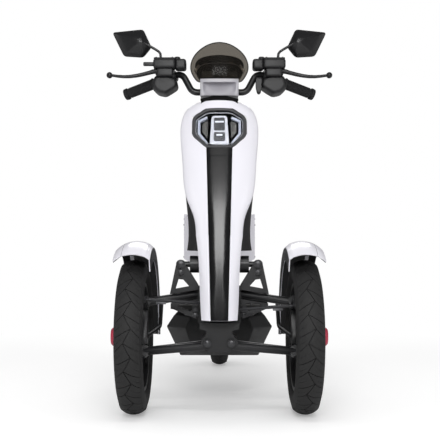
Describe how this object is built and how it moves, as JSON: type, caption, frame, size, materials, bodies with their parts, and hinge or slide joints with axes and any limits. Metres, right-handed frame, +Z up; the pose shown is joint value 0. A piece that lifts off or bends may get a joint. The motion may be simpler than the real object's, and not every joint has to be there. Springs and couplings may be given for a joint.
{
  "type": "reverse trike",
  "caption": "Step-through electric reverse trike: steered front wheels on a leaning wishbone front end, a driven rear wheel, a floorboard and a hinged seat.",
  "frame": {"origin": "ground level under the middle of the overall box, on the vehicle's middle plane", "axes": "+Z up, -Y forward, +X to the rider's left"},
  "size_m": [0.757, 1.75, 1.2459],
  "materials": {
    "tyre_rubber": "black road tyre",
    "cast_black": "satin black cast alloy",
    "disc_steel": "brushed steel",
    "red_anodised": "red anodised cap",
    "motor_alloy": "satin black motor housing",
    "frame_black": "black powder coat",
    "rod_steel": "zinc plated steel",
    "white_gloss": "white painted panel",
    "black_gloss": "glossy black panel",
    "black_moulded": "black moulded plastic",
    "grey_moulded": "dark grey moulded plastic",
    "grip_rubber": "black rubber",
    "mirror_silver": "mirror glass",
    "lamp_clear": "clear lamp lens",
    "lamp_chrome": "bright lamp tower",
    "screen_smoke": "smoked screen",
    "tail_red": "red lamp lens",
    "signal_amber": "amber lamp lens",
    "seat_vinyl": "black seat vinyl",
    "deck_rubber": "ribbed black floorboard"
  },
  "bodies": {
    "chassis": {"main_frame": "frame_black", "front_shield": "white_gloss", "center_stripe": "black_gloss", "headlamp_housing": "grey_moulded", "headlamp_lens": "lamp_clear", "headlamp_reflector": "lamp_chrome", "leg_shield": "black_moulded", "neck_collar": "black_moulded", "upper_arms": "frame_black", "lower_arms": "frame_black", "tilt_damper": "frame_black", "floorboard": "deck_rubber", "battery_case": "black_moulded", "storage_bucket": "black_moulded", "side_panels": "white_gloss", "swing_arm": "frame_black", "rear_shocks": "frame_black", "rear_fender": "black_moulded", "rear_rack": "frame_black", "tail_lamp": "tail_red", "rear_signals": "signal_amber", "plate_bracket": "black_moulded"},
    "steering": {"steering_column": "frame_black", "handlebar": "frame_black", "grips": "grip_rubber", "hand_controls": "black_moulded", "brake_levers": "rod_steel", "mirrors": "black_moulded", "mirror_glass": "mirror_silver", "head_cover": "white_gloss", "instrument": "black_moulded", "visor": "screen_smoke"},
    "tie_rod_body_left": {"tie_rod_left": "rod_steel"},
    "tie_rod_body_right": {"tie_rod_right": "rod_steel"},
    "steered_left": {"knuckle_left": "frame_black", "front_fender_left": "white_gloss"},
    "steered_right": {"knuckle_right": "frame_black", "front_fender_right": "white_gloss"},
    "wheel_left": {"front_tyre_left": "tyre_rubber", "front_rim_left": "cast_black", "brake_disc_left": "disc_steel", "hub_cap_left": "red_anodised"},
    "wheel_right": {"front_tyre_right": "tyre_rubber", "front_rim_right": "cast_black", "brake_disc_right": "disc_steel", "hub_cap_right": "red_anodised"},
    "rear_wheel": {"rear_tyre": "tyre_rubber", "rear_rim": "cast_black", "hub_motor": "motor_alloy"},
    "seat_lid": {"seat": "seat_vinyl", "seat_pan": "black_moulded"}
  },
  "joints": [
    {"name": "handlebar_steer", "type": "hinge", "parent": "chassis", "child": "steering", "pos_m": [0, -0.3, 1.034], "axis": [0, 0.342, 0.9397], "range_deg": [-30, 30]},
    {"name": "knuckle_left_steer", "type": "hinge", "parent": "chassis", "child": "steered_left", "pos_m": [-0.225, -0.645, 0.23], "axis": [0, 0.342, 0.9397], "range_deg": [-30, 30]},
    {"name": "knuckle_right_steer", "type": "hinge", "parent": "chassis", "child": "steered_right", "pos_m": [0.225, -0.645, 0.23], "axis": [0, 0.342, 0.9397], "range_deg": [-30, 30]},
    {"name": "tie_rod_left_pin", "type": "hinge", "parent": "steering", "child": "tie_rod_body_left", "pos_m": [0, -0.6405, 0.31776], "axis": [0, 0.342, 0.9397], "range_deg": [-30, 30]},
    {"name": "tie_rod_right_pin", "type": "hinge", "parent": "steering", "child": "tie_rod_body_right", "pos_m": [0, -0.6405, 0.31776], "axis": [0, 0.342, 0.9397], "range_deg": [-30, 30]},
    {"name": "wheel_left_spin", "type": "hinge", "parent": "steered_left", "child": "wheel_left", "pos_m": [-0.253, -0.645, 0.23], "axis": [1, 0, 0], "continuous": true},
    {"name": "wheel_right_spin", "type": "hinge", "parent": "steered_right", "child": "wheel_right", "pos_m": [0.253, -0.645, 0.23], "axis": [1, 0, 0], "continuous": true},
    {"name": "rear_wheel_spin", "type": "hinge", "parent": "chassis", "child": "rear_wheel", "pos_m": [0, 0.605, 0.23], "axis": [1, 0, 0], "continuous": true},
    {"name": "seat_hinge", "type": "hinge", "parent": "chassis", "child": "seat_lid", "pos_m": [0, 0.122, 0.646], "axis": [1, 0, 0], "range_deg": [0, 75]}
  ],
  "couplings": [
    {"joint": "knuckle_left_steer", "follows": "handlebar_steer", "ratio": 1},
    {"joint": "knuckle_right_steer", "follows": "handlebar_steer", "ratio": 1},
    {"joint": "tie_rod_left_pin", "follows": "handlebar_steer", "ratio": -1},
    {"joint": "tie_rod_right_pin", "follows": "handlebar_steer", "ratio": -1}
  ]
}
